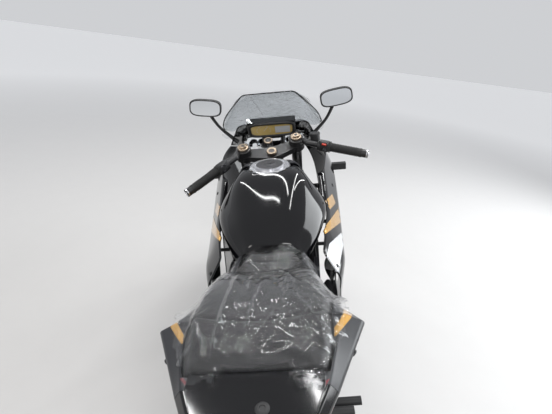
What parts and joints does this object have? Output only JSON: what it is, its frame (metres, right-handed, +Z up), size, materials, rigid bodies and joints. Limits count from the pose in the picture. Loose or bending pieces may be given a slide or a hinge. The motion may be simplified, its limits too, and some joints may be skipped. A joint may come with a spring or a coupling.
{
  "type": "sport motorcycle",
  "caption": "Faired sport motorcycle for rider and passenger, leaning on its side stand, with turned steering, turning wheels, folding stand and hinged filler cap.",
  "frame": {"origin": "middle of the bounding box at the ground", "axes": "+Y is the direction of travel and the longest extent, +X the rider's right, +Z up; the machine leans 12 degrees to its left, towards -X, on its side stand"},
  "size_m": [0.7706, 2.0142, 1.1856],
  "materials": {
    "bodywork": "gloss black lacquer",
    "satin_panel": "satin dark grey moulding",
    "black_plastic": "grained black plastic",
    "frame_paint": "black powder coat",
    "engine_case": "dark cast alloy",
    "bright_metal": "brushed",
    "steel": "satin",
    "tyre": "new rubber",
    "grip": "ribbed rubber",
    "seat_cover": "black vinyl",
    "clear_screen": "clear smoked screen",
    "red_lens": "dark red lens",
    "film": "clear film"
  },
  "bodies": {
    "chassis": {"belly_pan": "satin_panel", "drive_chain": "steel", "engine": "engine_case", "exhaust_pipes": "steel", "filler_ring": "bright_metal", "foot_levers": "bright_metal", "footrests": "bright_metal", "fuel_tank": "bodywork", "headlamps": "clear_screen", "indicators": "black_plastic", "instrument": "clear_screen", "knee_panels": "satin_panel", "main_frame": "frame_paint", "mirrors": "black_plastic", "nose_bracket": "black_plastic", "nose_cowl": "bodywork", "passenger_seat": "seat_cover", "radiator": "bright_metal", "rear_axles": "steel", "rear_caliper": "frame_paint", "rear_hugger": "black_plastic", "rear_mudguard": "black_plastic", "rider_seat": "seat_cover", "screen_film": "film", "seat_film": "film", "shock_absorber": "frame_paint", "side_fairing_left": "bodywork", "side_fairing_right": "bodywork", "silencer": "steel", "subframe": "frame_paint", "swingarm": "frame_paint", "tail_centre_panel": "satin_panel", "tail_cowl_left": "satin_panel", "tail_cowl_right": "satin_panel", "tail_lamp": "red_lens", "tank_cover": "satin_panel", "windscreen": "clear_screen"},
    "steering": {"fork_yokes": "frame_paint", "fork_tubes": "steel", "fork_lowers": "bright_metal", "front_axle": "steel", "handlebars": "frame_paint", "hand_grips": "grip", "hand_controls": "black_plastic", "front_mudguard": "bodywork", "front_calipers": "frame_paint", "ignition_lock": "black_plastic"},
    "front_wheel": {"front_rim": "frame_paint", "front_tyre": "tyre", "front_brake_discs": "steel"},
    "rear_wheel": {"rear_rim": "frame_paint", "rear_tyre": "tyre", "rear_brake_disc": "steel", "rear_sprocket": "steel"},
    "side_stand": {"side_stand": "frame_paint"},
    "filler_cap": {"filler_cap": "bright_metal"}
  },
  "joints": [
    {"name": "steering", "type": "hinge", "parent": "chassis", "child": "steering", "pos_m": [-0.00139, 0.39505, 0.91262], "axis": [-0.1899, -0.4047, 0.8945], "range_deg": [-41, 19]},
    {"name": "front_wheel_spin", "type": "hinge", "parent": "steering", "child": "front_wheel", "pos_m": [0.12434, 0.71079, 0.29059], "axis": [0.944, 0.1749, 0.2796], "continuous": true},
    {"name": "rear_wheel_spin", "type": "hinge", "parent": "chassis", "child": "rear_wheel", "pos_m": [0.12786, -0.69363, 0.30702], "axis": [0.9781, 0.0005, 0.2079], "continuous": true},
    {"name": "side_stand_fold", "type": "hinge", "parent": "chassis", "child": "side_stand", "pos_m": [-0.01042, -0.09931, 0.22517], "axis": [-0.957, -0.0048, 0.2901], "range_deg": [0, 94]},
    {"name": "filler_cap_hinge", "type": "hinge", "parent": "chassis", "child": "filler_cap", "pos_m": [-0.00915, 0.23532, 0.94952], "axis": [-0.9781, -0.0005, -0.2079], "range_deg": [0, 95]}
  ]
}
